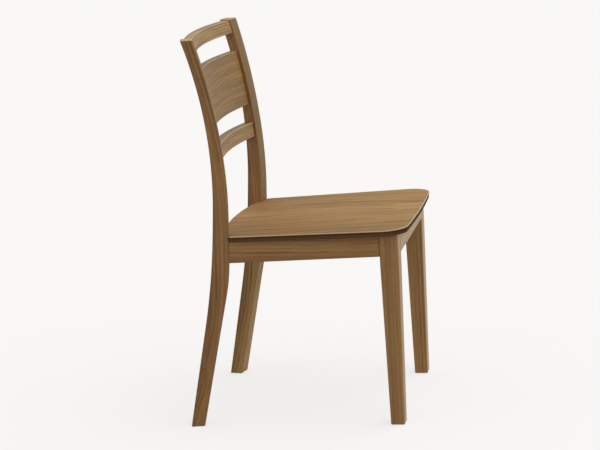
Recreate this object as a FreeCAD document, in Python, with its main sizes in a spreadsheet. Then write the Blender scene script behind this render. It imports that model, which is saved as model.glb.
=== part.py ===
import FreeCAD, Part
import Sketcher
import math
import os
import re

# A solid-wood dining chair: two sawn back posts, two front legs, four aprons, a seat board and
# three curved back rails, held by dowels, corner blocks and screws.  Millimetres, +Z up, the
# front of the chair faces -Y, origin on the floor under the middle of the bounding box.
#
# Every sketch is drawn in the "bow frame": its origin lies on the floor on the vertical axis that
# the back is curved about, well in front of the chair, and its y runs rearwards.  The posts turn
# about that axis by the toe-in, so the ends of the curved rails are square to them.

SIZES = {
    # whole chair
    "overall_height": 880,
    "overall_depth": 523,
    # plan of the back
    "back_inner_width": 371.5,   # between the posts at their reference line
    "toe_in": 12,                # degrees, each post turned towards the middle
    # back posts: planks sawn to an S profile
    "post_thickness": 36,
    "post_edge_chamfer": 1.5,
    "post_end_chamfer": 1.5,
    "foot_back": 84,             # rear edge at the floor, behind the reference line
    "foot_depth": 30.5,
    "rear_foot_lean": 11.7,      # degrees from upright, leaning forward going up
    "rear_knee_below_seat": 226,
    "rear_knee_end_below_seat": 4,
    "rear_seat_lean": 4.4,
    "rear_waist_above_seat": 43,
    "rear_top_lean": 18,         # degrees from upright, leaning back going up
    "front_foot_lean": 13,
    "front_knee_below_seat": 143,
    "front_knee_end_below_seat": 77,
    "front_seat_lean": 2.7,
    "front_waist_above_seat": 22,
    "front_bow_above_rail": 7,   # start of the upper curve, above the lower rail's underside
    "front_bow_lean": 4.7,
    "front_top_lean": 16.1,
    # back rails from the top down; each is set back from the posts' front edge
    "crest_drop": 3,             # below the posts' tops
    "crest_height": 30,
    "crest_inset": 3,
    "crest_thickness": 18,
    "crest_gap": 43,             # between the crest rail and the panel
    "panel_height": 129.5,
    "panel_inset": 7,
    "panel_thickness": 16,
    "panel_gap": 43.5,           # between the panel and the lower rail
    "lower_rail_height": 34,
    "lower_rail_inset": 5,
    "lower_rail_thickness": 21.5,
    "rail_edge_chamfer": 1,
    # seat board
    "seat_height": 449.5,        # top at the front edge
    "seat_slope": 1.83,          # degrees, falling to the back
    "seat_thickness": 13.5,
    "seat_front_width": 489.5,   # between the corners before they are rounded
    "seat_side_taper": 24.75,    # each side, from the front corners to the posts
    "seat_front_bow": 4400,      # radius of the front edge
    "seat_corner_radius": 55,
    "seat_rim": 2.5,             # upright rim left above the undercut
    "seat_undercut": 2,
    "seat_top_chamfer": 0.8,
    "seat_back_offset": 18,      # rear edge in front of the posts' reference line
    "seat_post_gap": 0.5,
    # front legs
    "leg_side_setback": 20.75,   # inside the seat's front corner
    "leg_setback": 24,           # behind the seat's front edge
    "leg_width": 42,
    "leg_taper_inner": 8,
    "leg_taper_front": 5,
    "leg_taper_rear": 6,
    "leg_taper_below_apron": 23,
    "leg_edge_chamfer": 1.5,
    "leg_foot_chamfer": 1.5,
    # aprons
    "apron_height": 48,
    "apron_thickness": 20,
    "rear_apron_inset": 25.5,    # front face ahead of the posts' reference line
    "apron_edge_chamfer": 1,
    # corner blocks
    "block_height": 30,
    "block_width": 24,
    "block_leg_gap": 1,
    # dowels and screws, drawn with flats
    "dowel_flats": 12,
    "screw_flats": 8,
    "dowel_diameter": 8,
    "dowel_length": 36,
    "panel_dowel_diameter": 6,
    "panel_dowel_length": 30,
    "rear_apron_dowel_length": 30,
    "dowel_clearance": 0.05,
    "dowel_end_room": 0.5,
    "crest_dowel_edge": 9,       # dowel centre from the nearer edge of its rail
    "panel_dowel_edge": 20,
    "lower_dowel_edge": 8.5,
    "apron_dowel_edge": 12,
    # screws
    "screw_diameter": 4,
    "screw_head_diameter": 8,
    "screw_head_height": 2.6,
    "screw_tip": 4,
    "screw_tip_width": 0.8,
    "screw_clearance": 0.1,
    "block_screw_length": 25,
    "block_screw_bite": 12,      # how far it reaches into the apron
    "seat_screw_length": 32,
    "seat_screw_bite": 11,
}

# Values that follow from the sizes above, in the bow frame.
WORKED = {
    "back_radius": "back_inner_width / 2 / sin(toe_in)",
    "foot_edge_cut": "post_edge_chamfer * sin(toe_in)",
    "foot_end_cut": "post_end_chamfer * tan(rear_foot_lean) * cos(toe_in)",
    "rear_reach": "(back_radius + foot_back) * cos(toe_in) - foot_edge_cut - foot_end_cut",
    "axis_y": "overall_depth / 2 - rear_reach",
    "front_y": "rear_reach - overall_depth",
    # back rails, from the top down
    "crest_top": "overall_height - crest_drop",
    "crest_bottom": "crest_top - crest_height",
    "panel_top": "crest_bottom - crest_gap",
    "panel_bottom": "panel_top - panel_height",
    "lower_rail_top": "panel_bottom - panel_gap",
    "lower_rail_bottom": "lower_rail_top - lower_rail_height",
    # heights where the posts' curves start and end
    "rear_knee_low": "seat_height - rear_knee_below_seat",
    "rear_knee_high": "seat_height - rear_knee_end_below_seat",
    "rear_waist": "seat_height + rear_waist_above_seat",
    "front_knee_low": "seat_height - front_knee_below_seat",
    "front_knee_high": "seat_height - front_knee_end_below_seat",
    "front_waist": "seat_height + front_waist_above_seat",
    "front_bow": "lower_rail_bottom + front_bow_above_rail",
    # rear edge of a post, from the floor up
    "rear_y0": "back_radius + foot_back",
    "rear_y1": "rear_y0 - rear_knee_low * tan(rear_foot_lean)",
    "rear_knee_radius": "(rear_knee_high - rear_knee_low) / (sin(rear_foot_lean) - sin(rear_seat_lean))",
    "rear_y2": "rear_y1 - rear_knee_radius * (cos(rear_seat_lean) - cos(rear_foot_lean))",
    "rear_y3": "rear_y2 - (rear_waist - rear_knee_high) * tan(rear_seat_lean)",
    "rear_bow_radius": "(overall_height - rear_waist) / (sin(rear_top_lean) + sin(rear_seat_lean))",
    "rear_y4": "rear_y3 + rear_bow_radius * (cos(rear_seat_lean) - cos(rear_top_lean))",
    # front edge of a post, from the floor up
    "front_y0": "rear_y0 - foot_depth",
    "front_y1": "front_y0 - front_knee_low * tan(front_foot_lean)",
    "front_knee_radius": "(front_knee_high - front_knee_low) / (sin(front_foot_lean) - sin(front_seat_lean))",
    "front_y2": "front_y1 - front_knee_radius * (cos(front_seat_lean) - cos(front_foot_lean))",
    "front_y3": "front_y2 - (front_waist - front_knee_high) * tan(front_seat_lean)",
    "front_waist_radius": "(front_bow - front_waist) / (sin(front_seat_lean) + sin(front_bow_lean))",
    "front_y4": "front_y3 + front_waist_radius * (cos(front_seat_lean) - cos(front_bow_lean))",
    "bow_radius": "(overall_height - front_bow) / (sin(front_top_lean) - sin(front_bow_lean))",
    "front_y5": "front_y4 + bow_radius * (cos(front_bow_lean) - cos(front_top_lean))",
    # centre of the posts' upper front curve, which the rails follow too
    "bow_y": "front_y4 + bow_radius * cos(front_bow_lean)",
    "bow_z": "front_bow - bow_radius * sin(front_bow_lean)",
    # seat board: underside at the front edge, and its notches round the posts
    "under_z": "seat_height - seat_thickness / cos(seat_slope)",
    "seat_rear_half": "seat_front_width / 2 - seat_side_taper",
    "seat_top_at_post": "seat_height - (front_y2 * cos(toe_in) - front_y) * tan(seat_slope)",
    "notch_radius": "front_y2 - (seat_top_at_post - front_knee_high) * tan(front_seat_lean) - seat_post_gap",
    "notch_inner_x": "notch_radius * sin(toe_in) - seat_post_gap * cos(toe_in)",
    "notch_inner_y": "notch_radius * cos(toe_in) + seat_post_gap * sin(toe_in)",
    "notch_run": "(seat_rear_half - notch_radius * sin(toe_in)) / cos(toe_in)",
    "notch_outer_y": "notch_radius * cos(toe_in) - notch_run * sin(toe_in)",
    "seat_rear_radius": "back_radius - seat_back_offset",
    "seat_rear_x": "seat_rear_radius * sin(toe_in) - seat_post_gap * cos(toe_in)",
    "seat_rear_y": "seat_rear_radius * cos(toe_in) + seat_post_gap * sin(toe_in)",
    "seat_corner_y": "seat_front_bow - sqrt(seat_front_bow ^ 2 - seat_front_width ^ 2 / 4)",
    # front legs
    "leg_front_y": "front_y + leg_setback",
    "leg_rear_y": "leg_front_y + leg_width",
    "leg_outer_x": "seat_front_width / 2 - leg_side_setback",
    "leg_inner_x": "leg_outer_x - leg_width",
    "leg_taper_start": "under_z - leg_setback * tan(seat_slope) - apron_height - leg_taper_below_apron",
    # side apron: its outer face runs from the leg's outer face to the post's outer front corner
    "post_corner_x": "front_y2 * sin(toe_in) + post_thickness * cos(toe_in)",
    "post_corner_y": "front_y2 * cos(toe_in) - post_thickness * sin(toe_in)",
    "apron_flare": "(leg_outer_x - post_corner_x) / (post_corner_y - leg_rear_y)",
    "apron_inner_x": "leg_outer_x - apron_thickness",
    "apron_front_inner_y": "leg_front_y + apron_thickness",
    "rear_apron_radius": "back_radius - rear_apron_inset",
    # corner blocks: the two slanted faces of a block, as sums or differences of x and y
    "block_slant": "block_width * sqrt(2)",
    "front_block_near": "leg_rear_y - leg_inner_x + block_leg_gap * sqrt(2)",
    "rear_block_near": "notch_radius * (sin(toe_in) + cos(toe_in)) - block_leg_gap * sqrt(2)",
}

ALIASES = {}
ALIASES.update({name: "Sizes." + name for name in SIZES})
ALIASES.update({name: "Worked." + name for name in WORKED})

doc = FreeCAD.newDocument("dining_chair")


def full(text):
    """An expression with each size's name led by the name of its sheet."""
    return re.sub(r"[a-z]\w*", lambda word: ALIASES.get(word.group(), word.group()), text)


def fill_sheet(name, cells):
    sheet = doc.addObject("Spreadsheet::Sheet", name)
    for row, (alias, content) in enumerate(cells.items(), start=1):
        sheet.set("A%d" % row, alias)
        sheet.set("B%d" % row, content)
        sheet.setAlias("B%d" % row, alias)
    doc.recompute()
    return sheet


sizes = fill_sheet("Sizes", {name: str(value) for name, value in SIZES.items()})
worked = fill_sheet("Worked", {name: "=" + full(text) for name, text in WORKED.items()})


def value(text):
    """The number that an expression gives now."""
    return float(sizes.evalExpression(full(text)))


def bind(thing, **expressions):
    for name, text in expressions.items():
        thing.setExpression(name.replace("__", "."), full(text))


def bow_place(turn="0"):
    """Placement of something drawn in the bow frame, turned about the bow axis."""
    return "placement(vector(0; axis_y; 0); rotation(vector(0; 0; 1); %s))" % turn


def new_body(label, turn="0"):
    body = doc.addObject("PartDesign::Body", label + "_body")
    bind(body, Placement=bow_place(turn))
    return body


def new_sketch(body, name, plane):
    sketch = body.newObject("Sketcher::SketchObject", name)
    role = plane + "_Plane"
    support = [item for item in body.Origin.OriginFeatures if item.Role == role][0]
    sketch.AttachmentSupport = (support, "")
    sketch.MapMode = "FlatFace"
    return sketch


def arc_between(start, end, radius, turn):
    """The short arc from start to end; turn is 1 for anticlockwise and -1 for clockwise."""
    chord = end - start
    half = chord.Length / 2
    across = FreeCAD.Vector(-chord.y, chord.x, 0).normalize()
    centre = (start + end) * 0.5 + across * (turn * math.sqrt(radius ** 2 - half ** 2))
    if turn < 0:
        start, end = end, start
    angles = [math.atan2(point.y - centre.y, point.x - centre.x) for point in (start, end)]
    circle = Part.Circle(centre, FreeCAD.Vector(0, 0, 1), radius)
    return Part.ArcOfCircle(circle, angles[0], angles[1])


def draw_outline(sketch, corners):
    """A closed outline whose corners are bound to expressions.

    A corner is (x, y), or (x, y, radius, turn) where the side that starts there is an arc.
    """
    points = [FreeCAD.Vector(value(corner[0]), value(corner[1]), 0) for corner in corners]
    sides = []
    for number, corner in enumerate(corners):
        start, end = points[number], points[(number + 1) % len(points)]
        if len(corner) == 2:
            side = sketch.addGeometry(Part.LineSegment(start, end))
            sides.append((side, 1, 2))
        else:
            turn = corner[3]
            side = sketch.addGeometry(arc_between(start, end, value(corner[2]), turn))
            sides.append((side, 1, 2) if turn > 0 else (side, 2, 1))
    for number, corner in enumerate(corners):
        side, first, last = sides[number]
        following = sides[(number + 1) % len(sides)]
        sketch.addConstraint(Sketcher.Constraint("Coincident", side, last, following[0], following[1]))
        place_point(sketch, side, first, corner, points[number])
        if len(corner) > 2:
            radius = sketch.addConstraint(Sketcher.Constraint("Radius", side, value(corner[2])))
            bind_constraint(sketch, radius, "radius_%d" % side, corner[2])


def place_point(sketch, side, end, corner, point):
    for kind, axis, text, number in (("DistanceX", -2, corner[0], point.x), ("DistanceY", -1, corner[1], point.y)):
        if text == "0":
            sketch.addConstraint(Sketcher.Constraint("PointOnObject", side, end, axis))
        else:
            index = sketch.addConstraint(Sketcher.Constraint(kind, -1, 1, side, end, number))
            bind_constraint(sketch, index, "%s_%d" % (kind, side), text)


def bind_constraint(sketch, index, name, text):
    sketch.renameConstraint(index, name)
    sketch.setExpression("Constraints." + name, full(text))


def pad(body, sketch, length, midplane=False, reverse=False):
    feature = body.newObject("PartDesign::Pad", sketch.Name + "_pad")
    feature.Profile = sketch
    feature.Midplane = midplane
    feature.Reversed = reverse
    bind(feature, Length=length)
    doc.recompute()
    return feature


def pocket_through(body, sketch):
    """Cut the outlines of a sketch right through, both ways; it has to take material away."""
    before = body.Tip.Shape.Volume
    feature = body.newObject("PartDesign::Pocket", sketch.Name + "_pocket")
    feature.Profile = sketch
    feature.Type = "ThroughAll"
    feature.Midplane = True
    doc.recompute()
    if feature.Shape.Volume >= before - 1:
        raise ValueError(feature.Name + " cuts nothing")
    return feature


def dress(body, kind, name, test, size, **settings):
    """A Fillet or Chamfer on the edges of the body's tip that pass the test."""
    base = body.Tip
    edges = ["Edge%d" % number for number, edge in enumerate(base.Shape.Edges, start=1) if test(edge)]
    feature = body.newObject("PartDesign::" + kind, body.Name + "_" + name)
    feature.Base = (base, edges)
    for setting, content in settings.items():
        if setting.startswith("Size"):
            bind(feature, **{setting: content})
        else:
            setattr(feature, setting, content)
    bind(feature, **{"Radius" if kind == "Fillet" else "Size": size})
    doc.recompute()
    return feature


def low(edge):
    return edge.BoundBox.ZMax < 0.01


# ---- fasteners and their holes ----

def peg(name, place, diameter, length):
    """A dowel centred on a joint, its axis along the z of its place, or the hole that takes it."""
    prism = doc.addObject("Part::Prism", name)
    bind(prism, Polygon="dowel_flats", Circumradius=diameter + " / 2", Height=length)
    bind(prism, Placement="%s * placement(vector(0; 0; -(%s) / 2); rotation(vector(0; 0; 1); 0))" % (place, length))
    return prism


def group(label, members):
    compound = doc.addObject("Part::Compound", label)
    compound.Links = members
    compound.Label = label
    return compound


def dowels(label, places, diameter="dowel_diameter", length="dowel_length"):
    """A group of dowels, and the drilled holes that take them."""
    pegs = [peg("%s_%d" % (label, number), place, diameter, length) for number, place in enumerate(places)]
    wide = "(%s + 2 * dowel_clearance)" % diameter
    long = "(%s + 2 * dowel_end_room)" % length
    holes = [peg("%s_hole_%d" % (label, number), place, wide, long) for number, place in enumerate(places)]
    return group(label, pegs), holes


def finish(label, body, holes=()):
    """The named piece: the body with its holes drilled."""
    if not holes:
        body.Label = label
        return body
    drills = doc.addObject("Part::Compound", label + "_drills")
    drills.Links = list(holes)
    cut = doc.addObject("Part::Cut", label)
    cut.Base = body
    cut.Tool = drills
    cut.Label = label
    return cut


def across_post(side, y, z):
    """Place on a post's inner face, its z axis along the post's thickness."""
    turn = "%d * toe_in" % -side
    return bow_place(turn) + " * placement(vector(0; %s; %s); rotation(vector(0; 1; 0); 90))" % (y, z)


def along_x(side, x, y, z):
    return bow_place() + " * placement(vector(%d * (%s); %s; %s); rotation(vector(0; 1; 0); 90))" % (side, x, y, z)


def along_y(side, x, y, z):
    return bow_place() + " * placement(vector(%d * (%s); %s; %s); rotation(vector(1; 0; 0); 90))" % (side, x, y, z)


# ---- back posts ----

POST_PROFILE = [
    ("front_y0", "0"),
    ("rear_y0", "0"),
    ("rear_y1", "rear_knee_low", "rear_knee_radius", -1),
    ("rear_y2", "rear_knee_high"),
    ("rear_y3", "rear_waist", "rear_bow_radius", -1),
    ("rear_y4", "overall_height"),
    ("front_y5", "overall_height", "bow_radius", 1),
    ("front_y4", "front_bow", "front_waist_radius", 1),
    ("front_y3", "front_waist"),
    ("front_y2", "front_knee_high", "front_knee_radius", 1),
    ("front_y1", "front_knee_low"),
]


def back_post(label, side):
    body = new_body(label, "%d * toe_in" % -side)
    profile = new_sketch(body, label + "_profile", "YZ")
    draw_outline(profile, POST_PROFILE)
    pad(body, profile, "post_thickness", reverse=side < 0)

    top = value("overall_height")

    def end_edge(edge):
        return low(edge) or edge.BoundBox.ZMin > top - 0.01

    def long_edge(edge):
        return edge.BoundBox.XLength < 0.01 and edge.BoundBox.ZLength > value("post_thickness")

    dress(body, "Chamfer", "ends", end_edge, "post_end_chamfer")
    dress(body, "Chamfer", "edges", long_edge, "post_edge_chamfer")
    return body


# ---- back rails ----

def bow_point(inset, z):
    """The y, at height z, of the curve that lies inset behind the posts' front edge."""
    return "bow_y - sqrt((bow_radius - %s) ^ 2 - (%s - bow_z) ^ 2)" % (inset, z)


def back_rail(label, bottom, top, inset, thickness):
    body = new_body(label)
    section = new_sketch(body, label + "_section", "YZ")
    rear_inset = "%s - %s" % (inset, thickness)
    draw_outline(section, [
        (bow_point(inset, bottom), bottom),
        (bow_point(rear_inset, bottom), bottom, "bow_radius - " + rear_inset, -1),
        (bow_point(rear_inset, top), top),
        (bow_point(inset, top), top, "bow_radius - " + inset, 1),
    ])
    turned = body.newObject("PartDesign::Revolution", label + "_turned")
    turned.Profile = section
    turned.ReferenceAxis = (section, ["V_Axis"])
    turned.Midplane = True
    bind(turned, Angle="2 * toe_in")
    doc.recompute()

    def long_edge(edge):
        return edge.BoundBox.ZLength < 0.01 and edge.Length > value("back_inner_width") / 2

    dress(body, "Chamfer", "edges", long_edge, "rail_edge_chamfer")
    return body


def rail_dowel_places(bottom, top, inset, thickness, edge, count):
    """Dowels at both ends of a rail, spread evenly between its edges."""
    places = []
    for side in (1, -1):
        for number in range(count):
            share = number / (count - 1)
            z = "(%s + %s + (%s - %s - 2 * %s) * %g)" % (bottom, edge, top, bottom, edge, share)
            y = bow_point("%s - %s / 2" % (inset, thickness), z)
            places.append(across_post(side, y, z))
    return places


# ---- aprons and corner blocks ----

def sloping_waste(body, name, drop, level):
    """Cut a piece along a line that lies drop below the seat's underside, as far as a level."""
    before, behind = "front_y", "front_y + 2 * overall_depth"
    waste = new_sketch(body, name, "YZ")
    draw_outline(waste, [
        (before, "under_z - " + drop),
        (behind, "under_z - %s - 2 * overall_depth * tan(seat_slope)" % drop),
        (behind, level),
        (before, level),
    ])
    pocket_through(body, waste)


def trim_above_seat(body, label):
    """Cut the top of a piece along the seat's underside."""
    sloping_waste(body, label + "_trim_above", "0", "2 * under_z")


def trim_to_seat(body, label, height):
    """Cut the top of a piece along the seat's underside, and its bottom parallel to that."""
    trim_above_seat(body, label)
    sloping_waste(body, label + "_trim_below", height, "-under_z")


def soften_below(body, piece_length):
    """Bevel the long lower edges of an apron."""
    bottom = body.Tip.Shape.BoundBox.ZMin
    reach = value("apron_height") / 2

    def lower_edge(edge):
        return edge.BoundBox.ZMax < bottom + reach and edge.Length > value(piece_length) / 2

    dress(body, "Chamfer", "edges", lower_edge, "apron_edge_chamfer")


def side_apron(label, side):
    body = new_body(label)
    plan = new_sketch(body, label + "_plan", "XY")
    past = "(post_corner_y + post_thickness)"
    reach = "apron_flare * (%s - leg_rear_y)" % past
    draw_outline(plan, [
        ("%d * leg_outer_x" % side, "leg_rear_y"),
        ("%d * (leg_outer_x - %s)" % (side, reach), past),
        ("%d * (apron_inner_x - %s)" % (side, reach), past),
        ("%d * apron_inner_x" % side, "leg_rear_y"),
    ])
    pad(body, plan, "seat_height")
    trim_to_seat(body, label, "apron_height")
    shoulder = new_sketch(body, label + "_shoulder", "YZ")
    bind(shoulder, AttachmentOffset="placement(vector(0; 0; 0); rotation(vector(0; 1; 0); %d * toe_in))" % -side)
    above = "(front_waist - front_knee_high)"
    draw_outline(shoulder, [
        ("front_y2 + %s * tan(front_seat_lean)" % above, "front_knee_high - " + above),
        ("rear_y0", "front_knee_high - " + above),
        ("rear_y0", "front_waist"),
        ("front_y3", "front_waist"),
    ])
    pocket_through(body, shoulder)
    soften_below(body, "back_inner_width")
    return body


def front_apron(label):
    body = new_body(label)
    section = new_sketch(body, label + "_section", "YZ")
    draw_outline(section, [
        ("leg_front_y", "under_z - leg_setback * tan(seat_slope) - apron_height"),
        ("apron_front_inner_y", "under_z - leg_setback * tan(seat_slope) - apron_height"),
        ("apron_front_inner_y", "under_z - (leg_setback + apron_thickness) * tan(seat_slope)"),
        ("leg_front_y", "under_z - leg_setback * tan(seat_slope)"),
    ])
    pad(body, section, "2 * leg_inner_x", midplane=True)
    soften_below(body, "leg_inner_x")
    return body


def rear_apron(label):
    body = new_body(label)
    plan = new_sketch(body, label + "_plan", "XY")
    outer = "(rear_apron_radius + apron_thickness)"
    inner = "rear_apron_radius"
    draw_outline(plan, [
        (inner + " * sin(toe_in)", inner + " * cos(toe_in)"),
        (outer + " * sin(toe_in)", outer + " * cos(toe_in)", outer, 1),
        ("-%s * sin(toe_in)" % outer, outer + " * cos(toe_in)"),
        ("-%s * sin(toe_in)" % inner, inner + " * cos(toe_in)", inner, -1),
    ])
    pad(body, plan, "seat_height")
    trim_to_seat(body, label, "apron_height")
    soften_below(body, "back_inner_width")
    return body


def inner_face_x(y):
    """The x of the side apron's inner face at y."""
    return "(apron_inner_x - apron_flare * (%s - leg_rear_y))" % y


def front_block_corner(slant):
    """Where a slanted face, y - x = slant, meets the side apron's inner face."""
    y = "((%s + apron_inner_x + apron_flare * leg_rear_y) / (1 + apron_flare))" % slant
    return inner_face_x(y), y


def rear_block_corner(slant):
    """Where a slanted face, x + y = slant, meets the side apron's inner face."""
    y = "((%s - apron_inner_x - apron_flare * leg_rear_y) / (1 - apron_flare))" % slant
    return inner_face_x(y), y


def rear_apron_corner(slant):
    """Where a slanted face, x + y = slant, meets the rear apron's curved front face."""
    x = "((%s - sqrt(2 * rear_apron_radius ^ 2 - (%s) ^ 2)) / 2)" % (slant, slant)
    return x, "(%s - %s)" % (slant, x)


FRONT_BLOCK_NEAR = "front_block_near"
FRONT_BLOCK_FAR = "(front_block_near + block_slant)"
REAR_BLOCK_NEAR = "rear_block_near"
REAR_BLOCK_FAR = "(rear_block_near - block_slant)"

FRONT_BLOCK = [
    front_block_corner(FRONT_BLOCK_NEAR),
    front_block_corner(FRONT_BLOCK_FAR),
    ("(apron_front_inner_y - %s)" % FRONT_BLOCK_FAR, "apron_front_inner_y"),
    ("(apron_front_inner_y - %s)" % FRONT_BLOCK_NEAR, "apron_front_inner_y"),
]
REAR_BLOCK = [
    rear_block_corner(REAR_BLOCK_NEAR),
    rear_apron_corner(REAR_BLOCK_NEAR),
    rear_apron_corner(REAR_BLOCK_FAR),
    rear_block_corner(REAR_BLOCK_FAR),
]


def corner_block(label, side, corners):
    body = new_body(label)
    plan = new_sketch(body, label + "_plan", "XY")
    draw_outline(plan, [("%d * %s" % (side, x), y) for x, y in corners])
    pad(body, plan, "seat_height")
    trim_to_seat(body, label, "block_height")
    return body


# ---- front legs ----

def bevelled_rectangle(left, right, front, rear, bevel):
    """Corners of a rectangle with bevelled corners, anticlockwise from the left end of the front."""
    return [
        ("%s + %s" % (left, bevel), front),
        ("%s - %s" % (right, bevel), front),
        (right, "%s + %s" % (front, bevel)),
        (right, "%s - %s" % (rear, bevel)),
        ("%s - %s" % (right, bevel), rear),
        ("%s + %s" % (left, bevel), rear),
        (left, "%s - %s" % (rear, bevel)),
        (left, "%s + %s" % (front, bevel)),
    ]


def front_leg(label, side):
    body = new_body(label)
    inner, outer = "%d * leg_inner_x" % side, "%d * leg_outer_x" % side
    foot_inner = "%d * (leg_inner_x + leg_taper_inner)" % side
    left, right = (inner, outer) if side > 0 else (outer, inner)
    foot_left, foot_right = (foot_inner, outer) if side > 0 else (outer, foot_inner)
    foot = new_sketch(body, label + "_foot", "XY")
    draw_outline(foot, bevelled_rectangle(
        foot_left, foot_right, "(leg_front_y + leg_taper_front)", "(leg_rear_y - leg_taper_rear)",
        "leg_edge_chamfer"))
    square = new_sketch(body, label + "_square", "XY")
    bind(square, AttachmentOffset="placement(vector(0; 0; leg_taper_start); rotation(vector(0; 0; 1); 0))")
    draw_outline(square, bevelled_rectangle(left, right, "leg_front_y", "leg_rear_y", "leg_edge_chamfer"))
    doc.recompute()
    taper = body.newObject("PartDesign::AdditiveLoft", label + "_taper")
    taper.Profile = foot
    taper.Sections = [square]
    taper.Ruled = True
    doc.recompute()
    pad(body, square, "seat_height - leg_taper_start")
    trim_above_seat(body, label)
    dress(body, "Chamfer", "foot", low, "leg_foot_chamfer")
    return body


# ---- seat board ----

SEAT_PLACE = ("placement(vector(0; axis_y + front_y; seat_height);"
              " rotation(vector(1; 0; 0); -seat_slope))")


def on_seat(y):
    """A distance along the sloping seat from its front edge, for a y of the bow frame."""
    return "(%s - front_y) / cos(seat_slope)" % y


def seat_board(label):
    body = doc.addObject("PartDesign::Body", label + "_body")
    bind(body, Placement=SEAT_PLACE)
    plan = new_sketch(body, label + "_plan", "XY")
    right_side = [
        ("seat_front_width / 2", "seat_corner_y"),
        ("seat_rear_half", on_seat("notch_outer_y")),
        ("notch_inner_x", on_seat("notch_inner_y")),
        ("seat_rear_x", on_seat("seat_rear_y"), "seat_rear_radius", 1),
    ]
    left_side = [("-%s" % corner[0], corner[1]) for corner in reversed(right_side)]
    left_side[-1] = left_side[-1] + ("seat_front_bow", 1)
    draw_outline(plan, right_side + left_side)
    pad(body, plan, "seat_thickness", reverse=True)
    bottom = -value("seat_thickness")
    notch = value(on_seat("notch_outer_y"))

    def front_corner(edge):
        return edge.BoundBox.ZLength > 1 and edge.BoundBox.Center.y < notch / 2

    dress(body, "Fillet", "corners", front_corner, "seat_corner_radius")

    def free_edge(edge, height):
        box = edge.BoundBox
        flat = box.ZLength < 0.01 and abs(box.ZMax - height) < 0.01
        return flat and box.Center.y < notch - 1

    dress(body, "Chamfer", "undercut", lambda edge: free_edge(edge, bottom), "seat_thickness - seat_rim",
          ChamferType="Two distances", Size2="seat_undercut", FlipDirection=False)

    def top_edge(edge):
        box = edge.BoundBox
        return box.ZLength < 0.01 and abs(box.ZMax) < 0.01

    dress(body, "Chamfer", "top", top_edge, "seat_top_chamfer")
    return body


# ---- screws ----

def screw_body(name, clearance, length, sink):
    """A countersunk screw along z with its head at the origin, or the hole that takes it."""
    shank = "(screw_diameter / 2 + %s)" % clearance
    head = "(screw_head_diameter / 2 + %s)" % clearance
    rings = [(head, "-(%s)" % sink)] if sink else []
    rings += [
        (head, "0"),
        (shank, "screw_head_height"),
        (shank, "%s - screw_tip" % length),
        ("(screw_tip_width / 2 + %s)" % clearance, "%s + %s" % (length, clearance)),
    ]
    sections = []
    for number, (radius, height) in enumerate(rings):
        ring = doc.addObject("Part::RegularPolygon", "%s_ring_%d" % (name, number))
        bind(ring, Polygon="screw_flats", Circumradius=radius)
        bind(ring, Placement="placement(vector(0; 0; %s); rotation(vector(0; 0; 1); 0))" % height)
        sections.append(ring)
    screw = doc.addObject("Part::Loft", name)
    screw.Sections = sections
    screw.Solid = True
    screw.Ruled = True
    return screw


def placed(name, body, place):
    copy = doc.addObject("Part::Compound", name)
    copy.Links = [body]
    bind(copy, Placement=place)
    return copy


def screws(label, places, length, sink):
    """A group of screws, and the holes that take them."""
    screw = screw_body(label + "_pattern", "0", length, "")
    hole = screw_body(label + "_hole_pattern", "screw_clearance", length, sink)
    made = [placed("%s_%d" % (label, number), screw, place) for number, place in enumerate(places)]
    holes = [placed("%s_hole_%d" % (label, number), hole, place) for number, place in enumerate(places)]
    return group(label, made), holes


# ---- the whole chair ----

SIDES = (("left", 1), ("right", -1))
RAILS = {
    "crest_rail": ("crest_bottom", "crest_top", "crest_inset", "crest_thickness"),
    "back_panel": ("panel_bottom", "panel_top", "panel_inset", "panel_thickness"),
    "lower_back_rail": ("lower_rail_bottom", "lower_rail_top", "lower_rail_inset", "lower_rail_thickness"),
}


def pick(items, places_per_side, side):
    """The half of a list that belongs to one side; the left side comes first."""
    return items[:places_per_side] if side > 0 else items[places_per_side:]


def apron_bottom(y):
    return "(under_z - apron_height - (%s - front_y) * tan(seat_slope))" % y


def apron_dowel_heights(y):
    low_dowel = "%s + apron_dowel_edge" % apron_bottom(y)
    high_dowel = "%s + apron_height - apron_dowel_edge" % apron_bottom(y)
    return low_dowel, high_dowel


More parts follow.
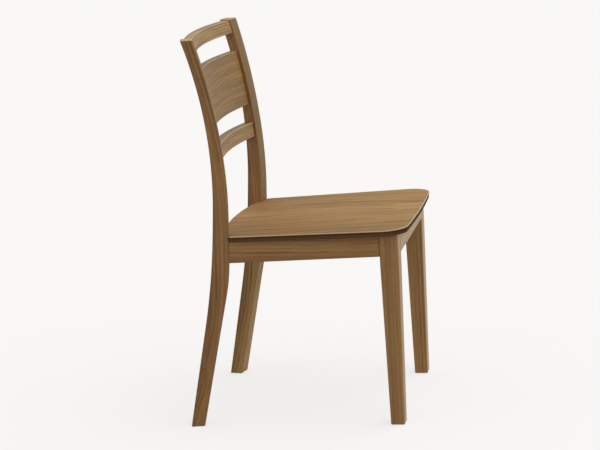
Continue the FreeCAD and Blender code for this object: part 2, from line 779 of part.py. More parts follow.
def build():
    pieces = []
    crest_dowels, crest_holes = dowels(
        "crest_rail_dowels", rail_dowel_places(*RAILS["crest_rail"], "crest_dowel_edge", 2))
    panel_dowels, panel_holes = dowels(
        "back_panel_dowels", rail_dowel_places(*RAILS["back_panel"], "panel_dowel_edge", 3),
        "panel_dowel_diameter", "panel_dowel_length")
    lower_dowels, lower_holes = dowels(
        "lower_rail_dowels", rail_dowel_places(*RAILS["lower_back_rail"], "lower_dowel_edge", 2))

    rear_dowel_y = "rear_apron_radius + apron_thickness / 2"
    rear_heights = apron_dowel_heights("(%s) * cos(toe_in)" % rear_dowel_y)
    rear_dowels, rear_holes = dowels(
        "rear_apron_dowels",
        [across_post(side, rear_dowel_y, z) for _, side in SIDES for z in rear_heights],
        length="rear_apron_dowel_length")

    front_dowel_y = "leg_front_y + apron_thickness / 2"
    front_heights = apron_dowel_heights("leg_front_y")
    front_dowels, front_holes = dowels(
        "front_apron_dowels",
        [along_x(side, "leg_inner_x", front_dowel_y, z) for _, side in SIDES for z in front_heights])

    side_places = []
    for _, side in SIDES:
        mid_x = "(apron_inner_x + apron_thickness / 2 - apron_flare * (%s - leg_rear_y))"
        for end in ("leg_rear_y", "post_corner_y"):
            side_places += [along_y(side, mid_x % end, end, z) for z in apron_dowel_heights(end)]
    side_dowels, side_holes = dowels("side_apron_dowels", side_places)

    block_screws, block_holes = screws("corner_block_screws", block_screw_places(), "block_screw_length",
                                       "block_width")
    seat_screws, seat_holes = screws("seat_screws", seat_screw_places(), "seat_screw_length", "block_height")

    for name, side in SIDES:
        holes = pick(crest_holes, 2, side) + pick(panel_holes, 3, side) + pick(lower_holes, 2, side)
        holes += pick(rear_holes, 2, side) + pick(side_holes, 4, side)[2:]
        pieces.append(finish("back_post_" + name, back_post("back_post_" + name, side), holes))
    for name, side in SIDES:
        holes = pick(front_holes, 2, side) + pick(side_holes, 4, side)[:2]
        pieces.append(finish("front_leg_" + name, front_leg("front_leg_" + name, side), holes))
    for label, holes in (("crest_rail", crest_holes), ("back_panel", panel_holes),
                         ("lower_back_rail", lower_holes)):
        pieces.append(finish(label, back_rail(label, *RAILS[label]), holes))
    pieces.append(finish("seat_board", seat_board("seat_board"), seat_holes))
    pieces.append(finish("front_apron", front_apron("front_apron"), front_holes + block_holes[1:8:4]))
    pieces.append(finish("rear_apron", rear_apron("rear_apron"), rear_holes + block_holes[3:8:4]))
    for number, (name, side) in enumerate(SIDES):
        label = "side_apron_" + name
        holes = pick(side_holes, 4, side) + block_holes[4 * number:4 * number + 3:2]
        pieces.append(finish(label, side_apron(label, side), holes))
        label = "corner_block_front_" + name
        holes = block_holes[4 * number:4 * number + 2] + [seat_holes[2 * number]]
        pieces.append(finish(label, corner_block(label, side, FRONT_BLOCK), holes))
        label = "corner_block_rear_" + name
        holes = block_holes[4 * number + 2:4 * number + 4] + [seat_holes[2 * number + 1]]
        pieces.append(finish(label, corner_block(label, side, REAR_BLOCK), holes))
    pieces += [crest_dowels, panel_dowels, lower_dowels, rear_dowels, front_dowels, side_dowels]
    pieces += [block_screws, seat_screws]
    return pieces


HIGH_SCREW, LOW_SCREW = 1 / 3, 2 / 3    # shares of a block's height, so that its screws pass


def block_screw_places():
    """For each side: front block into side apron and front apron, rear block into side and rear."""
    back = "(block_screw_length - block_screw_bite)"
    places = []
    for _, side in SIDES:
        outward = "rotation(vector(0; 1; 0); %d)" % (90 * side)
        x, y = middle_of(FRONT_BLOCK[0], FRONT_BLOCK[1])
        places.append(block_place(side, "(%s - %s)" % (x, back), y, outward, HIGH_SCREW))
        x, y = middle_of(FRONT_BLOCK[2], FRONT_BLOCK[3])
        places.append(block_place(side, x, "(%s + %s)" % (y, back), "rotation(vector(1; 0; 0); 90)",
                                  LOW_SCREW))
        x, y = middle_of(REAR_BLOCK[0], REAR_BLOCK[3])
        places.append(block_place(side, "(%s - %s)" % (x, back), y, outward, HIGH_SCREW))
        x, y = middle_of(REAR_BLOCK[1], REAR_BLOCK[2])
        places.append(block_place(side, x, "(%s - %s)" % (y, back), "rotation(vector(1; 0; 0); -90)",
                                  LOW_SCREW))
    return places


def middle_of(first, second):
    return "((%s + %s) / 2)" % (first[0], second[0]), "((%s + %s) / 2)" % (first[1], second[1])


def block_place(side, x, y, turn, share):
    """Inside a corner block, at a share of its height below the seat's underside."""
    z = "under_z - block_height * %g - (%s - front_y) * tan(seat_slope)" % (share, y)
    return bow_place() + " * placement(vector(%d * %s; %s; %s); %s)" % (side, x, y, z, turn)


def seat_screw_places():
    places = []
    for _, side in SIDES:
        for block in (FRONT_BLOCK, REAR_BLOCK):
            x1, y1 = middle_of(block[0], block[2])
            x2, y2 = middle_of(block[1], block[3])
            x, y = middle_of((x1, y1), (x2, y2))
            z = "seat_screw_bite - seat_thickness - seat_screw_length"
            places.append(SEAT_PLACE + " * placement(vector(%d * %s; %s; %s); rotation(vector(0; 0; 1); 0))"
                          % (side, x, on_seat(y), z))
    return places


def check_all():
    doc.recompute()
    for item in doc.Objects:
        if {"Invalid", "Error"} & set(item.State):
            raise ValueError("%s is in state %s" % (item.Name, item.State))


def check_pieces(pieces):
    for piece in pieces:
        if piece.Shape.isNull() or not piece.Shape.isValid():
            raise ValueError(piece.Label + " has no valid shape")


chair = build()
check_all()
check_pieces(chair)
os.makedirs("parts", exist_ok=True)
for piece in chair:
    piece.Shape.exportStep("parts/%s.step" % piece.Label)
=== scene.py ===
import math

import bmesh
import bpy
import numpy as np
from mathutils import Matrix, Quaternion, Vector


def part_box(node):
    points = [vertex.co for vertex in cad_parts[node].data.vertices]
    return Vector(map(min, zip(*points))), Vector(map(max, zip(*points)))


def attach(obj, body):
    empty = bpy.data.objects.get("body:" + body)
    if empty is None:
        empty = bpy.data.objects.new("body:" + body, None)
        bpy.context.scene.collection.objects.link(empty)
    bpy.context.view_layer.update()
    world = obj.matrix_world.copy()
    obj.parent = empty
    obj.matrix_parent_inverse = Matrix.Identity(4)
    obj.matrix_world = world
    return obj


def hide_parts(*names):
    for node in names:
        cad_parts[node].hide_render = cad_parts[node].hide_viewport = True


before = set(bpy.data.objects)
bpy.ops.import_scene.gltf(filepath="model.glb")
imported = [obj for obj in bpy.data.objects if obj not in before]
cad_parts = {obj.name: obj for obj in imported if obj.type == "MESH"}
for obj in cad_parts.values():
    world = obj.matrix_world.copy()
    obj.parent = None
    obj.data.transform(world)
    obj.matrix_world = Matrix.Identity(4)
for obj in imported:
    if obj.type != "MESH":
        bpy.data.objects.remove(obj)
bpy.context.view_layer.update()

# A dining chair in oiled oak. Metres, +Z up, the front of the chair faces -Y.

MM = 0.001


# ---- node helpers ----

def linear(code):
    """Linear RGBA of an sRGB colour written as hex."""
    channels = [int(code[place:place + 2], 16) / 255 for place in (1, 3, 5)]
    return [c / 12.92 if c <= 0.04045 else ((c + 0.055) / 1.055) ** 2.4 for c in channels] + [1]


def node(tree, kind, inputs=None, stops=(), **settings):
    """Add a node; each input is a value or another node's output, and stops fill its colour ramp."""
    made = tree.nodes.new(kind)
    for name, content in settings.items():
        setattr(made, name, content)
    for socket, content in (inputs or {}).items():
        if isinstance(content, bpy.types.NodeSocket):
            tree.links.new(content, made.inputs[socket])
        else:
            made.inputs[socket].default_value = content
    while stops and len(made.color_ramp.elements) < len(stops):
        made.color_ramp.elements.new(0.5)
    for element, (place, colour) in zip(made.color_ramp.elements if stops else (), stops):
        element.position = place
        element.color = colour
    return made


def new_material(name):
    """An empty node material, and its tree."""
    material = bpy.data.materials.new(name)
    material.use_nodes = True
    material.node_tree.nodes.clear()
    return material, material.node_tree


# ---- oiled oak ----

# The back is bent about an upright axis in front of the chair; the rear apron's box gives it.
TOE_IN = math.radians(12)
REAR_APRON_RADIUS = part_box("rear_apron")[1].x / math.sin(TOE_IN)
BOW_AXIS_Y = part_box("rear_apron")[1].y - REAR_APRON_RADIUS

# The seat's top at its front edge, from where it falls to the back, and how steeply it falls.
SEAT_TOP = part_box("seat_board")[1].z
SEAT_SLOPE = math.radians(1.83)

# Turns that lay the pith, which is upright in the ring pattern, along the grain of a piece.
GRAIN_TURNS = {"X": (0, 90, 0), "Y": (-90, 0, 0), "Z": (0, 0, 0)}
GRAIN_AXES = {"X": (1, 0, 0), "Y": (0, 1, 0), "Z": (0, 0, 1)}

# Oiled oak from the darkest latewood line to the palest earlywood, and where each tone lies between them.
OAK = ("#694622", "#8C6437", "#A37B48", "#BA9460")
TONE_STOPS = (0.0, 0.36, 0.62, 1.0)
# The rails, the front apron and the seat come from greener boards.
GREEN_OAK = ("#6B4B1E", "#8B6933", "#A27F46", "#B99761")
BEECH = ("#A87E52", "#BE9464", "#CDA678", "#D8B68C")

# Stains, worn places, painted highlights and painted shade, each laid over the wood by an amount from 0 to 1.
PORE_OIL = "#4E3418"
# Arrises: partly wear, partly a painted highlight.
ARRIS_WEAR_AND_HIGHLIGHT = "#DCC6A0"
# Painted light: the front faces are painted yellower.
PAINTED_FRONT_LIGHT = "#7E672A"
# Painted shade in the joints at a shoulder.
PAINTED_JOINT_SHADE = "#2E1D0E"
# Painted highlight on the seat's rim; painted shade in its undercut, darkest in the quirk and on the front.
PAINTED_RIM_HIGHLIGHT = "#D8C098"
PAINTED_UNDERCUT_SHADE = "#60442A"
PAINTED_QUIRK_SHADOW = "#140A02"
PAINTED_FRONT_UNDERCUT_SHADE = "#241203"

# A sawn end: how much the oil shows there, and its colour.
DARK_ENDS = (0.22, "#4A3118")
POST_ENDS = (0.45, "#D3BC92")

# Where a piece starts and stops along its grain between two shoulders, and how dark the painted shade gets
# there.
BENT_ENDS = (-TOE_IN * REAR_APRON_RADIUS, TOE_IN * REAR_APRON_RADIUS, 0.8)
SIDE_ENDS = (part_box("side_apron_right")[0].y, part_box("side_apron_right")[1].y, 0.35)

STAVE_WIDTH = 62 * MM
# How strongly a post bows back, for each metre squared from the seat; below it the foot is splayed.
FOOT_BOW = -0.42
BACK_BOW = -0.345


def straight(tree):
    """Plain places, for wood sawn along its grain."""
    return node(tree, "ShaderNodeTexCoord").outputs["Object"]


def bent(tree):
    """Along the bend, outwards from its axis, and up, for wood whose grain follows the bent back."""
    place = straight(tree)
    centred = node(tree, "ShaderNodeVectorMath", {0: place, 1: (0, -BOW_AXIS_Y, 0)}, operation="ADD")
    parts = node(tree, "ShaderNodeSeparateXYZ", {0: centred.outputs[0]})
    flat = node(tree, "ShaderNodeVectorMath", {0: centred.outputs[0], 1: (1, 1, 0)}, operation="MULTIPLY")
    outwards = node(tree, "ShaderNodeVectorMath", {0: flat.outputs[0]}, operation="LENGTH")
    angle = node(tree, "ShaderNodeMath", {0: parts.outputs["X"], 1: parts.outputs["Y"]}, operation="ARCTAN2")
    along = node(tree, "ShaderNodeMath", {0: angle.outputs[0], 1: REAR_APRON_RADIUS}, operation="MULTIPLY")
    return node(tree, "ShaderNodeCombineXYZ", {
        "X": along.outputs[0], "Y": outwards.outputs["Value"], "Z": parts.outputs["Z"],
    }).outputs[0]


def swept(tree):
    """Places that lean back with a post, for planks picked so that their grain runs with the sweep."""
    parts = node(tree, "ShaderNodeSeparateXYZ", {0: straight(tree)})
    above = node(tree, "ShaderNodeMath", {0: parts.outputs["Z"], 1: SEAT_TOP}, operation="SUBTRACT")
    square = node(tree, "ShaderNodeMath", {0: above.outputs[0], 1: above.outputs[0]}, operation="MULTIPLY")
    upward = node(tree, "ShaderNodeMath", {0: above.outputs[0], 1: 0.0}, operation="GREATER_THAN")
    bow = node(tree, "ShaderNodeMapRange", {
        "Value": upward.outputs[0], "To Min": FOOT_BOW, "To Max": BACK_BOW,
    })
    level = node(tree, "ShaderNodeMath", {
        0: square.outputs[0], 1: bow.outputs[0], 2: parts.outputs["Y"],
    }, operation="MULTIPLY_ADD")
    return node(tree, "ShaderNodeCombineXYZ", {
        "X": parts.outputs["X"], "Y": level.outputs[0], "Z": parts.outputs["Z"],
    }).outputs[0]


def staved(tree):
    """A glued board: each stave comes from a tree of its own."""
    place = straight(tree)
    across = node(tree, "ShaderNodeSeparateXYZ", {0: place}).outputs["X"]
    count = node(tree, "ShaderNodeMath", {0: across, 1: STAVE_WIDTH}, operation="DIVIDE")
    number = node(tree, "ShaderNodeMath", {0: count.outputs[0]}, operation="FLOOR")
    chance = node(tree, "ShaderNodeTexWhiteNoise", {"W": number.outputs[0]}, noise_dimensions="1D")
    shift = node(tree, "ShaderNodeVectorMath", {
        0: chance.outputs["Color"], 1: (0.5, 0.5, 0.5),
    }, operation="SUBTRACT")
    return node(tree, "ShaderNodeVectorMath", {
        0: shift.outputs[0], 1: (0.12, 0.8, 0.06), 2: place,
    }, operation="MULTIPLY_ADD").outputs[0]


def timber(name, grain, pith, lean=(0, 0, 0), places=straight, tones=OAK, ring=9.0, waviness=1.0, level=0.0,
           contrast=1.0, slope=(0, 0, 0), shade=0, roughness=0.58, oil=0.5, red=None, end_grain=DARK_ENDS,
           front=None, joints=None, painted_edge_shade=False):
    """Wood planed, sanded and oiled: yearly rings about a pith, long pores, a soft silky sheen.

    grain is the axis that the wood runs along, and places turns a bent or swept piece straight.
    pith is a point that the pith passes through, in millimetres, and lean turns it, in degrees.
    ring is the width of a year in millimetres, and waviness how far from round the trunk grew.
    tones run from dark to pale; level makes all of them paler, and contrast sets how far apart they lie.
    slope is how much paler the wood gets for each metre along X, Y and Z, and shade how much paler
    it is painted below the seat, as painted light against the seat's shadow. red is the colour of redder
    years.
    oil is how much of the oil stands on the surface, 0.5 for the usual coat.
    end_grain is the colour of a sawn end and how much it shows. front is how much paler the front face
    is painted as painted light, less than 0 for darker, and the height where that starts; it is painted
    yellower too.
    joints is where the piece starts and stops along its grain, and how dark the painted shade in its joints
    gets there.
    The last flag paints a highlight on the seat's rim and shade on its undercut edge.
    Rings of oak are 2 to 4 mm apart and its pores 0.3 mm across; both are drawn coarser to show.
    """
    material, tree = new_material(name)
    turn = [math.radians(a + b) for a, b in zip(GRAIN_TURNS[grain], lean)]
    place = places(tree)
    log = node(tree, "ShaderNodeMapping", {
        "Vector": place, "Location": [c * MM for c in pith], "Rotation": turn,
    }, vector_type="TEXTURE").outputs[0]

    # The trunk is never round: slow waves along it bend the rings by several millimetres.
    slow = node(tree, "ShaderNodeVectorMath", {0: log, 1: (11, 11, 3.5)}, operation="MULTIPLY")
    waves = node(tree, "ShaderNodeTexNoise", {"Vector": slow.outputs[0], "Scale": 1, "Detail": 1.5})
    centred = node(tree, "ShaderNodeVectorMath", {
        0: waves.outputs["Color"], 1: (0.5, 0.5, 0.5),
    }, operation="SUBTRACT")
    trunk = node(tree, "ShaderNodeVectorMath", {
        0: centred.outputs[0], 1: (20 * MM * waviness, 20 * MM * waviness, 0), 2: log,
    }, operation="MULTIPLY_ADD").outputs[0]
    flat = node(tree, "ShaderNodeVectorMath", {0: trunk, 1: (1, 1, 0)}, operation="MULTIPLY")
    radius = node(tree, "ShaderNodeVectorMath", {0: flat.outputs[0]}, operation="LENGTH").outputs["Value"]
    rings = node(tree, "ShaderNodeMath", {0: radius, 1: ring * MM}, operation="DIVIDE").outputs[0]

    # Good and lean years: bands of tone several rings wide.
    years = node(tree, "ShaderNodeTexNoise", {"W": rings, "Scale": 0.4, "Detail": 2.5}, noise_dimensions="1D")
    # Each ring darkens slowly to its latewood and ends sharply; some years are far stronger.
    age = node(tree, "ShaderNodeMath", {0: rings}, operation="FRACT")
    late = node(tree, "ShaderNodeMapRange", {
        "Value": age.outputs[0], "From Min": 0.30, "From Max": 0.95,
    }, interpolation_type="SMOOTHSTEP")
    year = node(tree, "ShaderNodeMath", {0: rings}, operation="FLOOR")
    chance = node(tree, "ShaderNodeTexWhiteNoise", {"W": year.outputs[0]}, noise_dimensions="1D")
    strength = node(tree, "ShaderNodeMapRange", {
        "Value": chance.outputs["Value"], "To Min": 0.25, "To Max": 1.0,
    })
    # A latewood line fades and comes back along its length.
    stretch = node(tree, "ShaderNodeVectorMath", {0: log, 1: (60, 60, 7)}, operation="MULTIPLY")
    fading = node(tree, "ShaderNodeTexNoise", {"Vector": stretch.outputs[0], "Scale": 1, "Detail": 1})
    shown = node(tree, "ShaderNodeMapRange", {
        "Value": fading.outputs["Fac"], "From Min": 0.35, "From Max": 0.62, "To Min": 0.15,
    }, interpolation_type="SMOOTHSTEP")
    faded = node(tree, "ShaderNodeMath", {0: strength.outputs[0], 1: shown.outputs[0]}, operation="MULTIPLY")
    line = node(tree, "ShaderNodeMath", {0: late.outputs[0], 1: faded.outputs[0]}, operation="MULTIPLY")

    # Bundles of pores: streaks 3 mm wide and 120 mm long, and single pores 1 by 20 mm.
    bundle_place = node(tree, "ShaderNodeVectorMath", {0: trunk, 1: (330, 330, 8)}, operation="MULTIPLY")
    bundles = node(tree, "ShaderNodeTexNoise", {"Vector": bundle_place.outputs[0], "Scale": 1, "Detail": 2})
    pore_place = node(tree, "ShaderNodeVectorMath", {0: log, 1: (1000, 1000, 45)}, operation="MULTIPLY")
    pore_noise = node(tree, "ShaderNodeTexNoise", {"Vector": pore_place.outputs[0], "Scale": 1, "Detail": 1})
    pores = node(tree, "ShaderNodeMapRange", {
        "Value": pore_noise.outputs["Fac"], "From Min": 0.56, "From Max": 0.70,
    }, interpolation_type="SMOOTHSTEP")
    # Slow drift of tone through the board.
    drift_place = node(tree, "ShaderNodeVectorMath", {0: log, 1: (12, 12, 2.5)}, operation="MULTIPLY")
    drift = node(tree, "ShaderNodeTexNoise", {"Vector": drift_place.outputs[0], "Scale": 1, "Detail": 1})

    normal = node(tree, "ShaderNodeNewGeometry").outputs["True Normal"]
    facings = node(tree, "ShaderNodeSeparateXYZ", {0: normal}).outputs
    paling = node(tree, "ShaderNodeVectorMath", {0: place, 1: slope}, operation="DOT_PRODUCT")

    # Each layer's pattern, its share of the tone, and the pattern's usual value.
    layers = [
        (years.outputs["Fac"], 0.75, 0.5),
        (line.outputs[0], -0.62, 0.15),
        (bundles.outputs["Fac"], 0.60, 0.5),
        (drift.outputs["Fac"], 0.45, 0.5),
    ]
    plain_tone = 0.5 + level - contrast * sum(share * middle for _, share, middle in layers)
    tone = node(tree, "ShaderNodeMath", {
        0: paling.outputs["Value"], 1: plain_tone,
    }, operation="ADD").outputs[0]
    for pattern, share, _ in layers:
        tone = node(tree, "ShaderNodeMath", {
            0: pattern, 1: share * contrast, 2: tone,
        }, operation="MULTIPLY_ADD").outputs[0]
    # Painted light: the wood is painted paler below the seat, against the shadow that the seat casts.
    if shade:
        paler = node(tree, "ShaderNodeMapRange", {
            "Value": node(tree, "ShaderNodeSeparateXYZ", {0: place}).outputs["Z"],
            "From Min": SEAT_TOP - 80 * MM, "From Max": SEAT_TOP - 10 * MM, "To Min": shade, "To Max": 0,
        })
        tone = node(tree, "ShaderNodeMath", {0: tone, 1: paler.outputs[0]}, operation="ADD").outputs[0]
    # Painted light: faces that look forward are painted paler, or darker, from a height up, for the light
    # falling on the front.
    if front:
        forward = node(tree, "ShaderNodeMapRange", {
            "Value": facings["Y"], "From Min": -0.5, "From Max": -0.8,
        })
        above = node(tree, "ShaderNodeMapRange", {
            "Value": node(tree, "ShaderNodeSeparateXYZ", {0: place}).outputs["Z"],
            "From Min": front[1] - 60 * MM, "From Max": front[1] + 20 * MM,
        })
        painted_front_light_mask = node(tree, "ShaderNodeMath", {
            0: forward.outputs[0], 1: above.outputs[0],
        }, operation="MULTIPLY").outputs[0]
        tone = node(tree, "ShaderNodeMath", {
            0: painted_front_light_mask, 1: front[0], 2: tone,
        }, operation="MULTIPLY_ADD").outputs[0]
    colour = node(tree, "ShaderNodeValToRGB", {"Fac": tone}, stops=[
        (stop, linear(code)) for stop, code in zip(TONE_STOPS, tones)
    ]).outputs["Color"]

    # Pores hold dark oil, arrises are paler, partly worn and partly a painted highlight, and sawn ends take
    # the oil their own way.
    facing = node(tree, "ShaderNodeVectorMath", {0: normal, 1: GRAIN_AXES[grain]}, operation="DOT_PRODUCT")
    across = node(tree, "ShaderNodeMath", {0: facing.outputs["Value"]}, operation="ABSOLUTE")
    sawn = node(tree, "ShaderNodeMapRange", {
        "Value": across.outputs[0], "From Min": 0.80, "From Max": 0.97, "To Max": end_grain[0],
    })
    # A chamfer looks between its two faces, and the ones that look up get the most, as a painted highlight of
    # the light from above.
    sides = node(tree, "ShaderNodeSeparateXYZ", {
        0: node(tree, "ShaderNodeVectorMath", {0: normal}, operation="ABSOLUTE").outputs[0],
    })
    broadest = node(tree, "ShaderNodeMath", {
        0: sides.outputs["X"], 1: sides.outputs["Y"],
    }, operation="MAXIMUM")
    broadest = node(tree, "ShaderNodeMath", {
        0: broadest.outputs[0], 1: sides.outputs["Z"],
    }, operation="MAXIMUM")
    arris = node(tree, "ShaderNodeMapRange", {
        "Value": broadest.outputs[0], "From Min": 0.86, "From Max": 0.76,
    })
    upward_highlight = node(tree, "ShaderNodeMapRange", {
        "Value": facings["Z"], "From Max": 0.6, "To Min": 0.03, "To Max": 0.50,
    })
    arris_wear_and_highlight = node(tree, "ShaderNodeMath", {0: arris.outputs[0], 1: upward_highlight.outputs[0]}, operation="MULTIPLY")
    pored = node(tree, "ShaderNodeMath", {0: pores.outputs[0], 1: 0.30}, operation="MULTIPLY")
    washes = [
        (pored.outputs[0], PORE_OIL), (sawn.outputs[0], end_grain[1]), (arris_wear_and_highlight.outputs[0], ARRIS_WEAR_AND_HIGHLIGHT),
    ]
    if red:
        warmth = node(tree, "ShaderNodeTexNoise", {
            "W": rings, "Scale": 0.7, "Detail": 1.5, "Roughness": 0.7,
        }, noise_dimensions="1D")
        redder = node(tree, "ShaderNodeMapRange", {
            "Value": warmth.outputs["Fac"], "From Min": 0.42, "From Max": 0.70, "To Max": 0.5,
        })
        washes.insert(0, (redder.outputs[0], red))
    # Painted light: the same front faces are painted yellower.
    if front:
        painted_front_tint = node(tree, "ShaderNodeMath", {0: painted_front_light_mask, 1: 0.42}, operation="MULTIPLY")
        washes.append((painted_front_tint.outputs[0], PAINTED_FRONT_LIGHT))
    if joints:
        # Painted shade darkens the last 2.6 mm at a shoulder, where shade falls in its joint.
        along = node(tree, "ShaderNodeSeparateXYZ", {0: place}).outputs[grain]
        start = node(tree, "ShaderNodeMath", {0: along, 1: joints[0]}, operation="SUBTRACT")
        stop = node(tree, "ShaderNodeMath", {0: joints[1], 1: along}, operation="SUBTRACT")
        nearest = node(tree, "ShaderNodeMath", {0: start.outputs[0], 1: stop.outputs[0]}, operation="MINIMUM")
        joint = node(tree, "ShaderNodeMapRange", {
            "Value": nearest.outputs[0], "From Min": 2.6 * MM, "From Max": 0.8 * MM, "To Max": joints[2],
        })
        washes.append((joint.outputs[0], PAINTED_JOINT_SHADE))
    if painted_edge_shade:
        # A highlight is painted on the rim and shade on the undercut below it, darkest in the quirk under the
        # rim, where a shadow line is painted.
        seat_low, seat_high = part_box("seat_board")
        fall = node(tree, "ShaderNodeVectorMath", {
            0: straight(tree), 1: (0, -math.tan(SEAT_SLOPE), -1),
        }, operation="DOT_PRODUCT").outputs["Value"]
        top = seat_high.z + seat_low.y * math.tan(SEAT_SLOPE)
        below = node(tree, "ShaderNodeMath", {0: fall, 1: top}, operation="ADD").outputs[0]
        upright = node(tree, "ShaderNodeMath", {
            0: facings["Z"], 1: 0.0, 2: 0.8,
        }, operation="COMPARE").outputs[0]
        rim = node(tree, "ShaderNodeMath", {0: below, 1: 2.4 * MM}, operation="LESS_THAN").outputs[0]
        pale = node(tree, "ShaderNodeMath", {0: rim, 1: upright}, operation="MULTIPLY").outputs[0]
        pale = node(tree, "ShaderNodeMath", {0: pale, 1: 0.45}, operation="MULTIPLY").outputs[0]
        # The undercut leans in by 10 degrees, so that it looks a little down.
        undercut = node(tree, "ShaderNodeMath", {
            0: facings["Z"], 1: -0.17, 2: 0.09,
        }, operation="COMPARE").outputs[0]
        quirk = node(tree, "ShaderNodeMapRange", {
            "Value": below, "From Min": 2.5 * MM, "From Max": 7.5 * MM, "To Min": 0.85, "To Max": 0.0,
        }).outputs[0]
        quirk = node(tree, "ShaderNodeMath", {0: quirk, 1: undercut}, operation="MULTIPLY").outputs[0]
        washes += [(pale, PAINTED_RIM_HIGHLIGHT), (undercut, PAINTED_UNDERCUT_SHADE), (quirk, PAINTED_QUIRK_SHADOW)]
        # The front edge is end grain; its undercut gets more painted shade there, where the light from the
        # front falls on it.
        front_undercut_shade = node(tree, "ShaderNodeMapRange", {
            "Value": facing.outputs["Value"], "From Min": -0.3, "From Max": -0.9, "To Max": 0.6,
        })
        front_undercut_shade = node(tree, "ShaderNodeMath", {0: front_undercut_shade.outputs[0], 1: undercut}, operation="MULTIPLY")
        washes.append((front_undercut_shade.outputs[0], PAINTED_FRONT_UNDERCUT_SHADE))
        # Less sheen on the undercut, as part of its painted shade.
        oil = node(tree, "ShaderNodeMath", {
            0: undercut, 1: 0.1 - oil, 2: oil,
        }, operation="MULTIPLY_ADD").outputs[0]
    for amount, stain in washes:
        colour = node(tree, "ShaderNodeMix", {
            "Factor": amount, "A": colour, "B": linear(stain),
        }, data_type="RGBA").outputs["Result"]

    sheen = node(tree, "ShaderNodeMapRange", {
        "Value": bundles.outputs["Fac"], "From Min": 0.3, "From Max": 0.7,
        "To Min": roughness + 0.07, "To Max": roughness - 0.05,
    })
    relief = node(tree, "ShaderNodeMath", {
        0: bundles.outputs["Fac"], 1: pores.outputs[0],
    }, operation="SUBTRACT")
    bump = node(tree, "ShaderNodeBump", {
        "Height": relief.outputs[0], "Strength": 0.25, "Distance": 0.15 * MM,
    })
    surface = node(tree, "ShaderNodeBsdfPrincipled", {
        "Base Color": colour, "Roughness": sheen.outputs[0], "IOR": 1.45, "Specular IOR Level": oil,
        "Normal": bump.outputs[0],
    })
    node(tree, "ShaderNodeOutputMaterial", {"Surface": surface.outputs[0]})
    return material


def finish_with(material, *names):
    """Give CAD nodes a material in place of their plain one."""
    for name in names:
        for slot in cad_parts[name].material_slots:
            slot.material = material


finish_with(timber("oiled_oak_post_left", "Z", (330, 480, 0), places=swept, waviness=0.6, level=0.42,
                   contrast=0.7, slope=(0, -4, 0), shade=0.28, end_grain=POST_ENDS,
                   front=(-0.24, SEAT_TOP)), "back_post_left")
finish_with(timber("oiled_oak_post_right", "Z", (-250, -320, -400), places=swept, waviness=0.6, level=0.50,
                   contrast=0.9, slope=(0, -5, 0), shade=0.06, end_grain=POST_ENDS,
                   front=(-0.18, SEAT_TOP)), "back_post_right")
finish_with(timber("oiled_oak_leg_left", "Z", (140, -630, 0), lean=(0.3, 0.2, 0), waviness=0.4, contrast=0.8,
                   roughness=0.42, front=(0.36, 0)), "front_leg_left")
finish_with(timber("oiled_oak_leg_right", "Z", (-290, -580, 0), lean=(-0.2, 0, 0), waviness=0.3, level=-0.10,
                   contrast=0.65, roughness=0.42, front=(0.12, 0)), "front_leg_right")
finish_with(timber("oiled_oak_crest", "X", (0, 1010, 440), places=bent, tones=GREEN_OAK, ring=6,
                   waviness=0.35, level=-0.14, contrast=0.95, roughness=0.5, joints=BENT_ENDS), "crest_rail")
finish_with(timber("oiled_oak_panel", "X", (60, 1000, 420), lean=(0, -0.6, 0), places=bent, tones=GREEN_OAK,
                   ring=5, waviness=0.9, level=-0.31, contrast=0.68, slope=(0.1, 0, 0), roughness=0.5,
                   oil=0.4, joints=BENT_ENDS), "back_panel")
finish_with(timber("oiled_oak_lower_rail", "X", (0, 940, 300), places=bent, tones=GREEN_OAK, ring=6,
                   waviness=0.4, level=-0.20, contrast=0.95, roughness=0.5,
                   joints=BENT_ENDS), "lower_back_rail")
finish_with(timber("oiled_oak_seat", "Y", (0, 0, 150), places=staved, tones=GREEN_OAK, ring=6, waviness=0.35,
                   level=-0.19, contrast=0.7, slope=(0.5, -0.6, 0), roughness=0.72, red="#A67340",
                   painted_edge_shade=True), "seat_board")
finish_with(timber("oiled_oak_front_apron", "X", (0, -180, 60), tones=GREEN_OAK, waviness=0.5, level=0.08,
                   contrast=0.5, roughness=0.42), "front_apron")
finish_with(timber("oiled_oak_side_apron_left", "Y", (260, 0, 60), contrast=0.7), "side_apron_left")
finish_with(timber("oiled_oak_side_apron_right", "Y", (-180, 0, 60), waviness=0.7, level=-0.12, contrast=0.6,
                   joints=SIDE_ENDS), "side_apron_right")
finish_with(timber("oiled_oak_rear_apron", "X", (0, 840, 60), places=bent), "rear_apron")
finish_with(timber("sawn_beech_blocks", "X", (0, 0, 300), tones=BEECH, contrast=0.5, roughness=0.75),
            *[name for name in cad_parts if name.startswith("corner_block_") and "screws" not in name])


# ---- zinc-plated steel ----

def zinc():
    """Zinc-plated steel screws: bright blue-grey metal with a fine crystalline cloud."""
    material, tree = new_material("zinc_plated_steel")
    cloud = node(tree, "ShaderNodeTexNoise", {"Vector": straight(tree), "Scale": 900, "Detail": 2})
    colour = node(tree, "ShaderNodeValToRGB", {"Fac": cloud.outputs["Fac"]}, stops=[
        (0.35, linear("#A9ADB2")), (0.65, linear("#C6C8CA")),
    ])
    rough = node(tree, "ShaderNodeMapRange", {"Value": cloud.outputs["Fac"], "To Min": 0.24, "To Max": 0.42})
    surface = node(tree, "ShaderNodeBsdfPrincipled", {
        "Base Color": colour.outputs[0], "Metallic": 1.0, "Roughness": rough.outputs[0],
    })
    node(tree, "ShaderNodeOutputMaterial", {"Surface": surface.outputs[0]})
    return material


# ---- fasteners ----

SIZE = "NodeSocketFloat"
COUNT = "NodeSocketInt"
MATERIAL = "NodeSocketMaterial"


